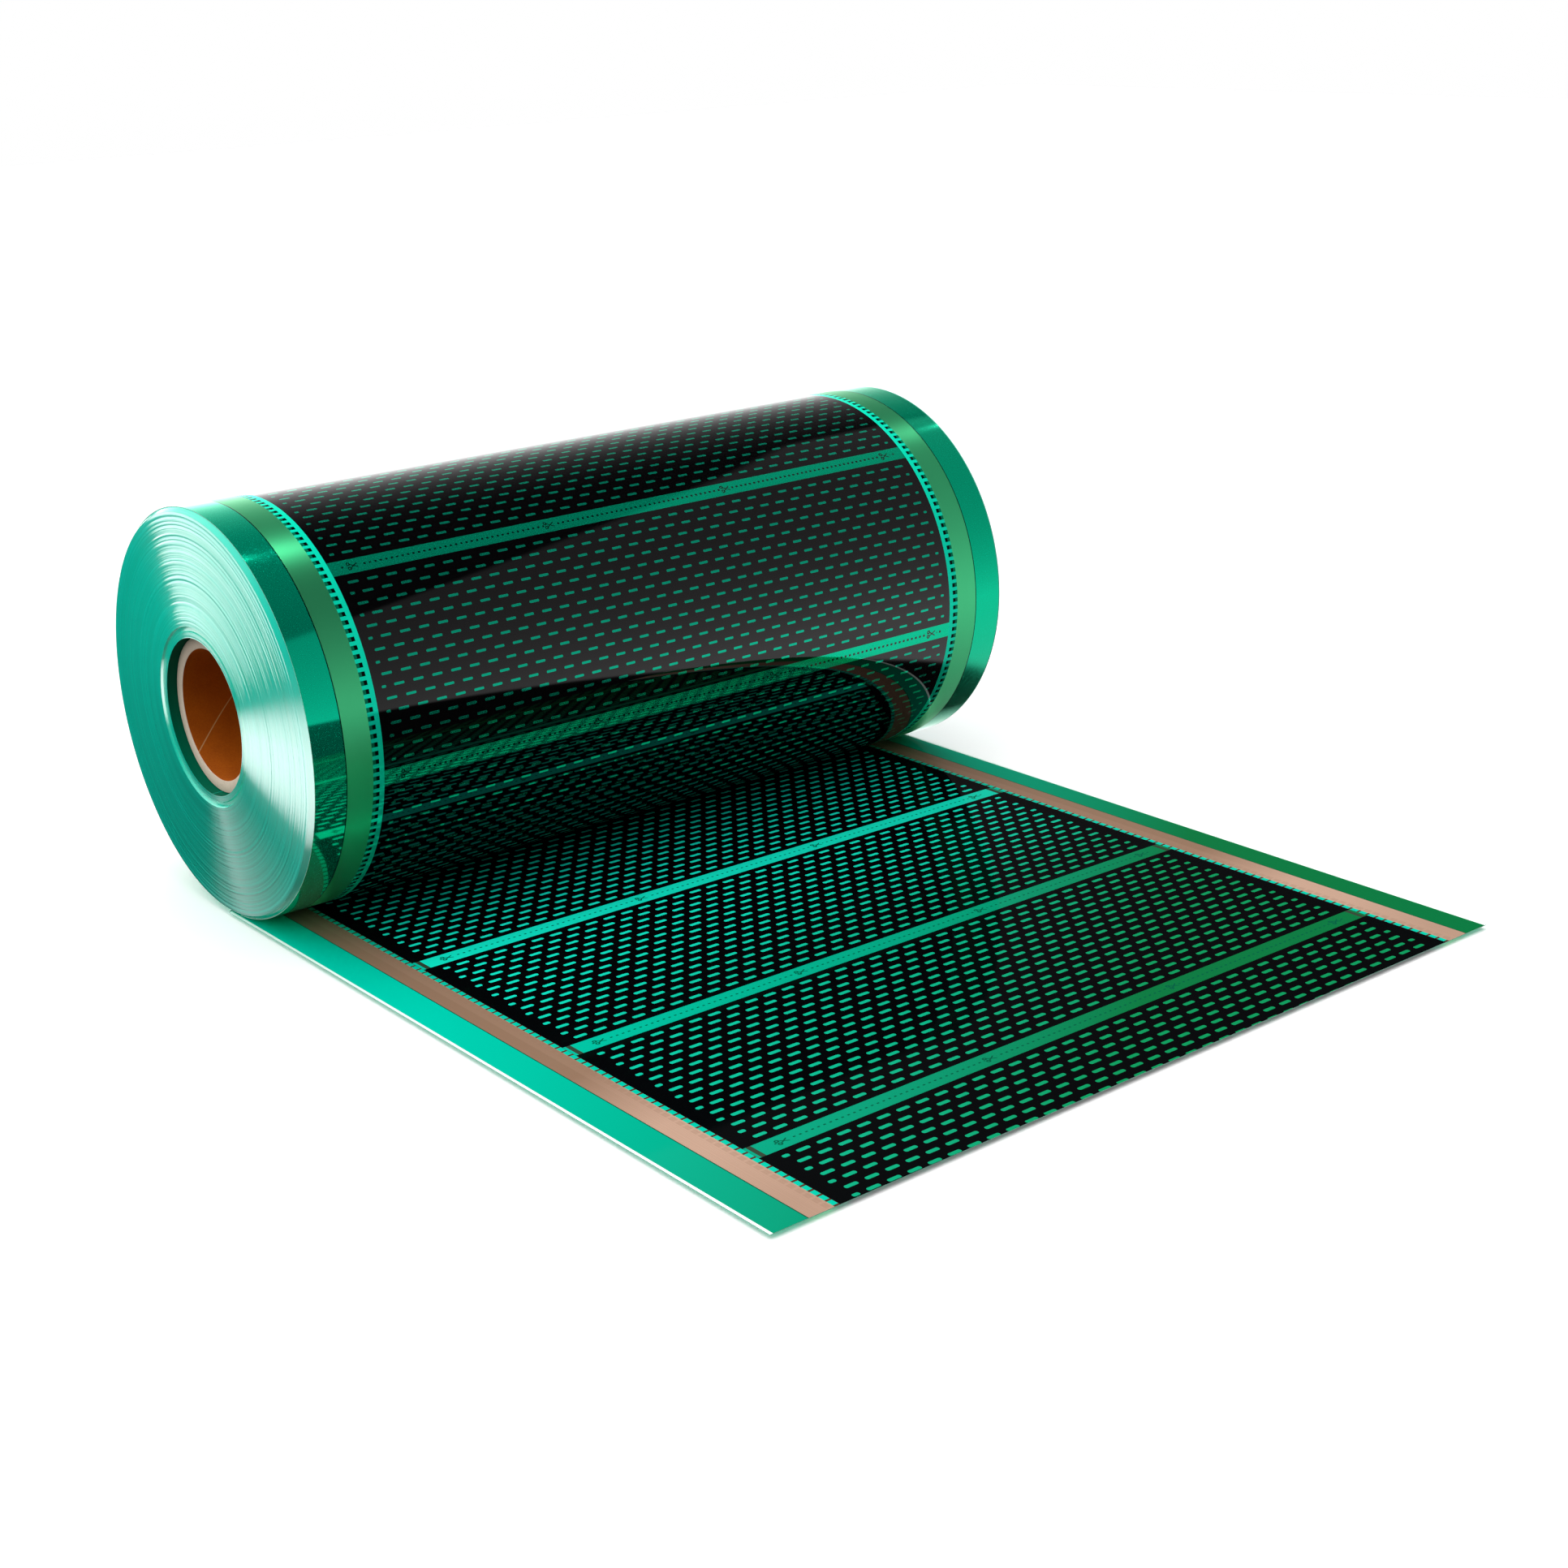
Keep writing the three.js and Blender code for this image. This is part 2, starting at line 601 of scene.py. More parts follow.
@dataclass(frozen=True)
class FilmPrint:
    """The printed laminate as seen from one side."""

    side: Side
    field: DashField
    bands: EdgeBands
    inks: FilmInks
    drift: Drift
    laminate: Laminate
    painted_sheen: PaintedSheen | None = None
    wound_shade_start: float = 1.0
    brush_scale: float = 2600.0

    def material(self) -> bpy.types.Material:
        """Build the film's material for this side.

        Returns:
            The material.
        """
        board = Board(self.side.value)
        film_across, film_along = board.printed()
        along = -film_along
        across = film_across - self.bands.offset
        out = abs(across)
        bands = self.bands
        soft = bands.soft
        past = self.field.after_strip(across, along)
        rows = self.field.strip_rows(past)
        strip = rows * out.below(self.field.strip_reach, soft)
        dashes = self.field.dashes(across, past)
        marks = self.field.cut_marks(across, past) * strip
        drift = self.drift.share(film_across, along)
        copper_zone = out.between(bands.copper_end, bands.margin, soft)
        margin_zone = out.above(bands.margin, soft)

        colour = self.field_colour(board, out, along, rows, strip.math("MAXIMUM", dashes), marks, drift)
        colour = self.edge_colour(board, colour, out, along, drift)
        rim = abs(film_across).above(bands.rim, soft)
        if self.side is Side.INNER:
            rim = rim * film_along.below(0.0, soft)
            # painted shade: the inner side turns dark green where it is wound, so the bore wall looks
            # shaded
            colour = board.mix(film_along.above(self.wound_shade_start, 1.0), colour, self.inks.wound)
        colour = board.mix(rim, colour, self.inks.rim)

        laminate = self.laminate
        bare_film = strip.math("MAXIMUM", dashes) * (1 - marks) * out.below(bands.carbon, soft)
        metal = (bare_film + margin_zone) * laminate.green_metal + copper_zone * laminate.copper_metal
        line_zone = out.between(bands.carbon, bands.copper_end, soft)
        metal = metal + line_zone * laminate.line_metal
        haze = board.grain(laminate.haze_scale, 1.0).above(laminate.haze_limit, laminate.haze_soft)
        haze = haze * (1 - copper_zone)
        coat = laminate.coat
        if laminate.coat_loss:
            printed_zone = copper_zone + bare_film + margin_zone + line_zone
            coat = laminate.coat - printed_zone * laminate.coat_loss
        roughness = (
            haze * (laminate.hazy_roughness - laminate.clear_roughness)
            + copper_zone * (laminate.copper_roughness - laminate.clear_roughness)
            + laminate.clear_roughness
        )
        return board.finish({
            "Base Color": colour,
            "Metallic": metal * (1 - rim),
            "Roughness": roughness,
            "Specular IOR Level": 0.0,
            "Coat Weight": coat,
            "Coat Roughness": laminate.gloss,
            "Coat IOR": 1.5,
        })

    def field_colour(
        self, board: Board, out: Wire, along: Wire, rows: Wire, bare: Wire, marks: Wire, drift: Wire,
    ) -> Wire:
        """Colour of the carbon field with its dashes, strips and cut marks.

        Args:
            board: The material's nodes.
            out: Distance from the print's middle line.
            along: Place along the film.
            rows: Mask of the strips' rows.
            bare: Mask of the film without carbon.
            marks: Mask of the cut marks.
            drift: Drift of the green.

        Returns:
            The colour.
        """
        inks = self.inks
        soft = self.bands.soft
        # painted reflection: on the unrolled end the drift keeps the green bright and bluish at the left
        # and by the roll
        green = board.mix(drift, inks.dash, inks.dash_far)
        strip_green = board.mix(drift, inks.green, inks.green_far)
        green = board.mix(rows, green, strip_green)
        # painted light: the field's green brightens towards the roll, over the roll's shade
        if inks.near:
            near = along.math("MULTIPLY_ADD", -1 / inks.painted_light_reach, 1.0, clamp=True)
            green = board.mix(near, green, inks.near)
        colour = board.mix(bare, inks.carbon, green)
        colour = board.mix(marks, colour, inks.mark)
        stub = rows * out.between(self.field.strip_reach, self.bands.stub_end, soft)
        colour = board.mix(stub, colour, inks.stub)
        foot = rows * out.above(self.bands.stub_end, soft)
        return board.mix(foot, colour, strip_green)

    def edge_colour(self, board: Board, field: Wire, out: Wire, along: Wire, drift: Wire) -> Wire:
        """Colour with the line, teeth, copper and margin added along both edges.

        Args:
            board: The material's nodes.
            field: Colour of the carbon field.
            out: Distance from the print's middle line.
            along: Place along the film.
            drift: Drift of the green.

        Returns:
            The colour.
        """
        bands = self.bands
        inks = self.inks
        soft = bands.soft
        tooth = abs(along.repeat(bands.tooth_pitch)).below(bands.tooth_half, soft)
        tooth_colour = board.mix(out.above(bands.tooth_reach, soft), inks.tooth, inks.tooth_foot)
        teeth = board.mix(tooth, inks.tooth_gap, tooth_colour)

        copper = self.copper_colour(board, out, along)
        ghost = tooth * out.between(
            bands.copper_end + bands.ghost_start, bands.copper_end + bands.ghost_end, soft)
        copper = board.mix(ghost * bands.ghost_share, copper, inks.copper)
        brushed = board.lines(out * MM, self.brush_scale, 3.0, 0.7)
        worn = board.mix(brushed.above(0.0, 1.0), copper, inks.copper)
        copper = board.mix(brushed.math("MULTIPLY_ADD", 0.9, -0.25, clamp=True), copper, worn)

        colour = board.mix(out.above(bands.carbon, soft), field, inks.line)
        colour = board.mix(out.above(bands.teeth_end, soft), colour, teeth)
        colour = board.mix(out.above(bands.copper_end, soft), colour, copper)
        # the margins follow the same drift, painted reflection on the unrolled end
        green = board.mix(drift, inks.green, inks.green_far)
        colour = board.mix(out.above(bands.margin, soft), colour, green)
        border = out.between(bands.margin - bands.line_half, bands.margin + bands.line_half, soft)
        return board.mix(border, colour, inks.mark)

    def copper_colour(self, board: Board, out: Wire, along: Wire) -> Wire:
        """Colour of the copper strips, with any painted sheen, before their wear.

        Args:
            board: The material's nodes.
            out: Distance from the print's middle line.
            along: Place along the film.

        Returns:
            The colour.
        """
        inks = self.inks
        outer_half = out.above(self.bands.copper_split, self.bands.soft)
        if self.painted_sheen is None:
            return board.mix(outer_half.math("MULTIPLY_ADD", -0.1, 0.1), inks.copper, inks.copper_pale_and_sheen)
        # painted sheen: the copper turns paler along the unrolled end, where it would catch the light
        painted_sheen = self.painted_sheen.share(along)
        least = self.painted_sheen.pale_least
        dark = board.mix(painted_sheen, inks.copper, inks.copper_pale_and_sheen)
        light = board.mix(painted_sheen.math("MULTIPLY_ADD", 1 - least, least), inks.copper, inks.copper_pale_and_sheen)
        return board.mix(outer_half, light, dark)


@dataclass(frozen=True)
class CutEdge:
    """The film's cut edge: clear polyester that catches light."""

    colour: Colour = srgb(190, 232, 218)
    deep: Colour = srgb(120, 205, 180)

    def material(self) -> bpy.types.Material:
        """Build the material."""
        board = Board("film_cut_edge")
        colour = board.mix(board.grain(900.0), self.colour, self.deep)
        return board.finish({"Base Color": colour, "Roughness": 0.35})


@dataclass(frozen=True)
class TurnEdges:
    """The ends of the winding: hundreds of cut film edges side by side."""

    axis_y: float
    axis_z: float
    turn_pitch: float = 0.36 * MM
    deep: Colour = srgb(0, 218, 186)
    pale: Colour = srgb(6, 236, 206)
    ring_scale: float = 900.0
    band_scale: float = 120.0
    band_share: float = 0.4
    lean_scale: float = 620.0
    lean_offset: float = 3.0
    wave_share: float = 0.12
    lean_least: float = 0.04
    lean_most: float = 0.55

    def material(self) -> bpy.types.Material:
        """Build the material with rings of tone, and edges that lean outwards by different amounts.

        Returns:
            The material.
        """
        board = Board("film_turn_edges")
        y, z = board.place()[1:]
        side = y - self.axis_y
        up = z - self.axis_z
        radius = (side * side + up * up).math("SQRT")
        rings = board.lines(radius, self.ring_scale, 4.0, 0.7)
        bands = board.lines(radius, self.band_scale)
        tone = rings * (1 - self.band_share) + bands * self.band_share
        tone = tone.math("MULTIPLY_ADD", 3.2, -1.1, clamp=True)
        colour = board.mix(tone, self.deep, self.pale)

        wave = (radius / self.turn_pitch * math.tau).math("SINE")
        uneven = board.lines(radius + self.lean_offset, self.lean_scale, 3.0, 0.75)
        lean = (uneven + wave * self.wave_share).math("MULTIPLY_ADD", 2.2, -0.6, clamp=True)
        lean = lean * (self.lean_most - self.lean_least) + self.lean_least
        normal = board.node("ShaderNodeNewGeometry", {}, {}, "Normal")
        push = board.node("ShaderNodeCombineXYZ", {}, {1: side / radius * lean, 2: up / radius * lean})
        tilted = board.node("ShaderNodeVectorMath", {"operation": "ADD"}, {0: normal, 1: push})
        tilted = board.node("ShaderNodeVectorMath", {"operation": "NORMALIZE"}, {0: tilted})
        return board.finish({
            "Base Color": colour,
            "Roughness": 0.1,
            "IOR": 2.6,
            "Normal": tilted,
        })


@dataclass(frozen=True)
class PaperTube:
    """The core's brown paper with its spiral seam, and its pale cut ends."""

    axis_y: float
    axis_z: float
    middle_x: float
    length: float
    wall_inner: Colour = srgb(182, 92, 6)
    wall_dark: Colour = srgb(152, 70, 2)
    cut: Colour = srgb(240, 225, 208)
    cut_fibre: Colour = srgb(214, 196, 170)
    cut_depth: float = 0.35 * MM
    cut_soft: float = 0.2 * MM
    seam: Colour = srgb(205, 165, 110)
    seam_share: float = 0.7
    seam_pitch: float = 0.255
    seam_start: float = 0.827
    seam_half: float = 0.0018

    def material(self) -> bpy.types.Material:
        """Build the paper's material.

        Returns:
            The material.
        """
        board = Board("core_paper")
        x, y, z = board.place()
        along = abs(x - self.middle_x)
        angle = (z - self.axis_z).math("ARCTAN2", y - self.axis_y)
        fibres = board.grain(900.0, 5.0, 0.65)
        clouds = board.grain(60.0)
        tone = (fibres * 0.6 + clouds * 0.4).math("MULTIPLY_ADD", 2.4, -0.7, clamp=True)
        paper = board.mix(tone, self.wall_dark, self.wall_inner)
        helix = (x / self.seam_pitch - angle / math.tau + self.seam_start).repeat(1.0)
        seam = abs(helix).below(self.seam_half, self.seam_half)
        paper = board.mix(seam * self.seam_share, paper, self.seam)
        cut = along.above(self.length / 2 - self.cut_depth, self.cut_soft)
        edge = board.mix(fibres, self.cut, self.cut_fibre)
        colour = board.mix(cut, paper, edge)
        bump = board.node("ShaderNodeBump", {}, {"Strength": 0.4, "Distance": 0.0004, "Height": fibres})
        return board.finish({
            "Base Color": colour,
            "Roughness": 0.8,
            "Specular IOR Level": 0.15,
            "Normal": bump,
        })


class EditMode:
    """Edit mode on one object, left again at the end of the with block."""

    def __init__(self, piece: bpy.types.Object) -> None:
        """Keep the object."""
        self.piece = piece

    def __enter__(self) -> "EditMode":
        """Select the object alone and enter edit mode."""
        bpy.ops.object.select_all(action="DESELECT")
        self.piece.select_set(True)
        bpy.context.view_layer.objects.active = self.piece
        bpy.ops.object.mode_set(mode="EDIT")
        return self

    def __exit__(self, *problem: object) -> None:
        """Leave edit mode."""
        bpy.ops.object.mode_set(mode="OBJECT")


def settle(piece: bpy.types.Object, name: str, materials: list[bpy.types.Material]) -> bpy.types.Object:
    """Name a piece, put its place into its mesh and give it its materials.

    Args:
        piece: The object.
        name: Its name.
        materials: Its material slots in order.

    Returns:
        The same object.
    """
    bpy.ops.object.select_all(action="DESELECT")
    piece.select_set(True)
    bpy.context.view_layer.objects.active = piece
    bpy.ops.object.transform_apply(location=True, rotation=True, scale=True)
    piece.name = name
    piece.data.name = name
    for material in materials:
        piece.data.materials.append(material)
    return piece


def print_layer(mesh: bpy.types.Mesh) -> bpy.types.MeshUVLoopLayer:
    """The layer that holds each corner's place across and along the film."""
    layer = mesh.uv_layers[0] if mesh.uv_layers else mesh.uv_layers.new(name=PRINT_MAP)
    layer.name = PRINT_MAP
    return layer


def turned(
    name: str,
    outline: list[tuple[float, float]],
    stock: Stock,
    steps: int,
    materials: list[bpy.types.Material],
    bevel: float = 0.0,
) -> bpy.types.Object:
    """Turn a closed outline once round the roll's axis.

    Args:
        name: The piece's name.
        outline: Place along the axis and radius of each corner.
        stock: The roll's sizes.
        steps: Facets round the axis.
        materials: The material slots in order.
        bevel: How far the outline's corners are cut back.

    Returns:
        The piece.
    """
    bpy.ops.object.select_all(action="DESELECT")
    bpy.ops.mesh.primitive_circle_add(vertices=len(outline), radius=stock.bore_radius)
    piece = bpy.context.object
    for vertex, (along, radius) in zip(piece.data.vertices, outline):
        vertex.co = (along, stock.axis_y, stock.roll_radius + radius)
    settle(piece, name, materials)
    with EditMode(piece):
        bpy.ops.mesh.select_all(action="SELECT")
        if bevel:
            bpy.ops.mesh.bevel(offset=bevel, segments=2, affect="VERTICES")
            bpy.ops.mesh.select_all(action="SELECT")
        bpy.ops.mesh.spin(
            steps=steps,
            angle=math.tau,
            center=(0.0, stock.axis_y, stock.roll_radius),
            axis=(1.0, 0.0, 0.0),
        )
        bpy.ops.mesh.select_all(action="SELECT")
        bpy.ops.mesh.remove_doubles(threshold=SAME_PLACE)
        bpy.ops.mesh.normals_make_consistent(inside=False)
    return piece


@dataclass(frozen=True)
class FilmSheet:
    """The outermost turn and the unrolled end: one strip of film."""

    stock: Stock
    steps: int = 288
    touch_angle: float = math.radians(355.6)
    flat_limit: float = 10 * MM
    step_back: float = 2.6 * MM

    def build(self, materials: list[bpy.types.Material]) -> bpy.types.Object:
        """Model the strip: a flat end, spun once round the roll's axis, then given its thickness.

        Args:
            materials: Inner side, outer side and cut edge.

        Returns:
            The piece.
        """
        stock = self.stock
        middle = (stock.middle_x, stock.axis_y - stock.tail_length / 2, stock.thickness / 2)
        bpy.ops.object.select_all(action="DESELECT")
        bpy.ops.mesh.primitive_plane_add(size=1.0, location=middle)
        piece = bpy.context.object
        piece.scale = (stock.width, stock.tail_length, 1.0)
        settle(piece, "film_sheet", materials)
        with EditMode(piece):
            bpy.ops.mesh.select_all(action="DESELECT")
        for vertex in piece.data.vertices:
            vertex.select = vertex.co.y > stock.axis_y - stock.thickness
        for edge in piece.data.edges:
            edge.select = all(piece.data.vertices[v].select for v in edge.vertices)
        with EditMode(piece):
            bpy.ops.mesh.spin(
                steps=self.steps,
                angle=-self.touch_angle,
                center=(0.0, stock.axis_y, stock.roll_radius),
                axis=(1.0, 0.0, 0.0),
            )
            bpy.ops.mesh.select_all(action="SELECT")
            bpy.ops.mesh.normals_make_consistent(inside=False)
        tail = min(piece.data.polygons, key=lambda face: face.center.y)
        if tail.normal.z < 0:
            with EditMode(piece):
                bpy.ops.mesh.select_all(action="SELECT")
                bpy.ops.mesh.flip_normals()
        for vertex in piece.data.vertices:
            lifted = vertex.co.z > stock.thickness or vertex.co.y > stock.axis_y + stock.thickness
            if lifted and vertex.co.x < 0:
                vertex.co.x += self.step_back
        self.lay_print(piece.data)
        solid = piece.modifiers.new("thickness", "SOLIDIFY")
        solid.thickness = stock.thickness
        solid.offset = 0.0
        solid.material_offset = 1
        solid.material_offset_rim = 2
        bpy.ops.object.modifier_apply(modifier=solid.name)
        bpy.ops.object.shade_smooth_by_angle(angle=math.radians(30))
        return piece

    def lay_print(self, mesh: bpy.types.Mesh) -> None:
        """Write each corner's place across and along the film.

        Args:
            mesh: The unthickened strip.
        """
        stock = self.stock
        layer = print_layer(mesh)
        for face in mesh.polygons:
            flat = face.center.z < stock.thickness and face.center.y < stock.axis_y - self.flat_limit
            turn = self.angle_of(face.center)
            for corner in face.loop_indices:
                place = mesh.vertices[mesh.loops[corner].vertex_index].co
                if flat:
                    along = place.y - stock.axis_y
                else:
                    swing = self.angle_of(place) - turn
                    swing = (swing + math.pi) % math.tau - math.pi
                    along = (turn + swing) * stock.roll_radius
                layer.data[corner].uv = (place.x - stock.middle_x, along)

    def angle_of(self, place: Vector) -> float:
        """Angle round the roll's axis, from its lowest line towards the back."""
        side = place.y - self.stock.axis_y
        up = place.z - self.stock.roll_radius
        return math.atan2(side, -up) % math.tau


@dataclass(frozen=True)
class Winding:
    """The turns under the outermost one, as a turned ring whose ends show slipped turns."""

    stock: Stock
    steps: int = 200
    rings: int = 130
    drift: float = 2.5 * MM
    lip_depth: float = 3.6 * MM
    lip_slip: float = 1.9 * MM
    groove_depth: float = 2.6 * MM
    groove_slip: float = 1.2 * MM
    proud_depth: float = 3.2 * MM
    step_depth: float = 2.2 * MM
    step_back: float = 2.6 * MM
    slip: float = 0.16 * MM
    flat_share: float = 0.05
    seed: int = 11

    def shifts(self) -> list[tuple[float, float, float]]:
        """Radius of each ring, and how far its left and right end lie along the axis.

        Returns:
            One triple for each ring, from the bore outwards.
        """
        stock = self.stock
        chance = random.Random(self.seed)
        lip = stock.bore_radius + self.lip_depth
        groove = lip + self.groove_depth
        proud = groove + self.proud_depth
        triples = []
        for ring in range(self.rings + 1):
            share = ring / self.rings
            radius = stock.bore_radius + share * (stock.winding_radius - stock.bore_radius)
            if radius < lip:
                shift = -self.lip_slip
            elif radius < groove:
                shift = -self.groove_slip
            elif radius < proud:
                shift = -self.drift
            else:
                shift = -self.drift * (stock.winding_radius - radius) / (stock.winding_radius - proud)
            shift += chance.random() ** 2 * self.slip
            outermost = max(0.0, 1 - (stock.winding_radius - radius) / self.step_depth) * self.step_back
            triples.append((radius, shift + outermost, shift - self.slip))
        return triples

    def build(self, materials: list[bpy.types.Material]) -> bpy.types.Object:
        """Turn the ring's outline once round the axis.

        Args:
            materials: The turn edges, and the film's inner and outer side.

        Returns:
            The piece.
        """
        stock = self.stock
        shifts = self.shifts()
        near = stock.edge_x - stock.width
        outline = [(near + left, radius) for radius, left, _ in shifts]
        outline += [(stock.edge_x + right, radius) for radius, _, right in reversed(shifts)]
        piece = turned("film_winding", outline, stock, self.steps, materials)
        for face in piece.data.polygons:
            if abs(face.normal.x) < self.flat_share:
                side = Vector((0.0, face.center.y - stock.axis_y, face.center.z - stock.roll_radius))
                if side.length < stock.bore_radius + MM:
                    face.material_index = 1
                elif side.length > stock.winding_radius - MM:
                    face.material_index = 2
        lay_turned_print(piece.data, stock)
        bpy.ops.object.shade_smooth_by_angle(angle=math.radians(40))
        return piece


def lay_turned_print(mesh: bpy.types.Mesh, stock: Stock) -> None:
    """Write the film's print places on a turned ring.

    Args:
        mesh: The ring.
        stock: The roll's sizes.
    """
    layer = print_layer(mesh)
    for face in mesh.polygons:
        turn = math.atan2(face.center.y - stock.axis_y, stock.roll_radius - face.center.z) % math.tau
        for corner in face.loop_indices:
            place = mesh.vertices[mesh.loops[corner].vertex_index].co
            angle = math.atan2(place.y - stock.axis_y, stock.roll_radius - place.z)
            swing = (angle - turn + math.pi) % math.tau - math.pi
            layer.data[corner].uv = (place.x - stock.middle_x, (turn + swing) * stock.roll_radius)


@dataclass(frozen=True)
class Core:
    """The paper tube that the film is wound on."""

    stock: Stock
    bore_radius: float = 38.1 * MM
    cut_bevel: float = 0.5 * MM
    sides: int = 160

    def build(self, materials: list[bpy.types.Material]) -> bpy.types.Object:
        """Turn the tube's section and round its cut edges.

        Args:
            materials: The paper.

        Returns:
            The piece.
        """
        stock = self.stock
        left = stock.core_x - stock.core_length / 2
        right = stock.core_x + stock.core_length / 2
        section = [(left, self.bore_radius), (left, stock.core_radius),
                   (right, stock.core_radius), (right, self.bore_radius)]
        piece = turned("core_tube", section, stock, self.sides, materials, self.cut_bevel)
        bpy.ops.object.shade_smooth_by_angle(angle=math.radians(40))
        return piece


@dataclass(frozen=True)
class Viewpoint:
    """The photograph's camera. Metres and degrees in the frame."""

    place: tuple[float, float, float] = (-0.7998, -1.0270, 0.5134)
    heading: float = 38.306
    dip: float = 18.999
    bank: float = -1.977
    lens: float = 55.44
    sensor: float = 36.0

    def build(self) -> None:
        """Make the camera and use it."""
        data = bpy.data.cameras.new("viewpoint")
        data.lens = self.lens
        data.sensor_width = self.sensor
        camera = bpy.data.objects.new("viewpoint", data)
        bpy.context.scene.collection.objects.link(camera)
        heading = math.radians(self.heading)
        dip = math.radians(self.dip)
        level = math.cos(dip)
        ahead = Vector((math.sin(heading) * level, math.cos(heading) * level, -math.sin(dip)))
        right = Vector((math.cos(heading), -math.sin(heading), 0.0))
        up = right.cross(ahead)
        turn = Matrix((right, up, -ahead)).transposed().to_4x4()
        camera.matrix_world = Matrix.Translation(self.place) @ turn @ Matrix.Rotation(
            math.radians(self.bank), 4, "Z")
        bpy.context.scene.camera = camera


@dataclass(frozen=True)
class Lamp:
    """One square area light."""

    name: str
    place: tuple[float, float, float]
    aim: tuple[float, float, float]
    size: float
    power: float
    mirrored: bool = False

    def build(self) -> None:
        """Hang the light and turn it to its aim."""
        data = bpy.data.lights.new(self.name, "AREA")
        data.size = self.size
        data.energy = self.power
        lamp = bpy.data.objects.new(self.name, data)
        lamp.location = self.place
        lamp.rotation_mode = "QUATERNION"
        lamp.rotation_quaternion = (Vector(self.aim) - Vector(self.place)).to_track_quat("-Z", "Y")
        lamp.visible_camera = False
        lamp.visible_glossy = self.mirrored
        bpy.context.scene.collection.objects.link(lamp)


@dataclass(frozen=True)
class FrontCard:
    """The slanted card to the right of the roll, as brightness by direction."""

    tilt: tuple[float, float, float] = (0.797, -0.118, -0.6015)
    bend: float = 0.22
    bend_ends: tuple[float, float] = (-0.54, 0.226)
    side_slope: float = 0.45
    table_middle: float = 0.42
    table_height: float = 0.02
    table_slope: float = 0.3
    table_curve: float = 12.0
    lowest: float = -0.25
    fade: float = 1.5
    power: float = 0.64

    def glow(self, toward: Direction) -> Wire:
        """Brightness of the card above the dark table's edge.

        Args:
            toward: The direction.

        Returns:
            The brightness.
        """
        x, y, z = toward
        bend = (y - self.bend_ends[0]) * (self.bend_ends[1] - y) * self.bend
        card = (x * self.tilt[0] + y * self.tilt[1] + z * self.tilt[2] + bend).above(0.0, 0.01)
        card = card * (y - x * self.side_slope).below(0.0, 0.05)
        table = x - self.table_middle
        table = self.table_height - table * self.table_slope - table * table * self.table_curve
        card = card * (z - table).above(0.0, 0.02)
        card = card * (z.math("MAXIMUM", self.lowest) * -self.fade).math("EXPONENT")
        return card * self.power * x.above(0.0, 0.02)


@dataclass(frozen=True)
class Backdrop:
    """The bright wall behind the roll, as brightness by direction."""

    turn_gain: float = 1.1
    turn_base: float = 0.65
    turn_most: float = 1.9
    top: float = 0.84
    top_soft: float = 0.3
    foot: float = 0.03
    foot_soft: float = 0.06
    side: float = 0.3
    side_soft: float = 0.08
    fade: float = 4.0
    power: float = 2.2

    def glow(self, toward: Direction) -> Wire:
        """Brightness of the wall, which fades upwards and grows towards the left.

        Args:
            toward: The direction.

        Returns:
            The brightness.
        """
        x, y, z = toward
        slope = y / x.math("MAXIMUM", 0.05)
        leftward = (slope - 1.0).math("MULTIPLY_ADD", self.turn_gain, self.turn_base)
        leftward = leftward.math("MAXIMUM", 0.0).math("MINIMUM", self.turn_most)
        foot = z.above(self.foot, self.foot_soft).math("MAXIMUM", x.above(self.side, self.side_soft))
        wall = (z.math("MAXIMUM", 0.0) * -self.fade).math("EXPONENT") * leftward
        return wall * z.below(self.top, self.top_soft) * foot * y.above(0.0, 0.05) * self.power


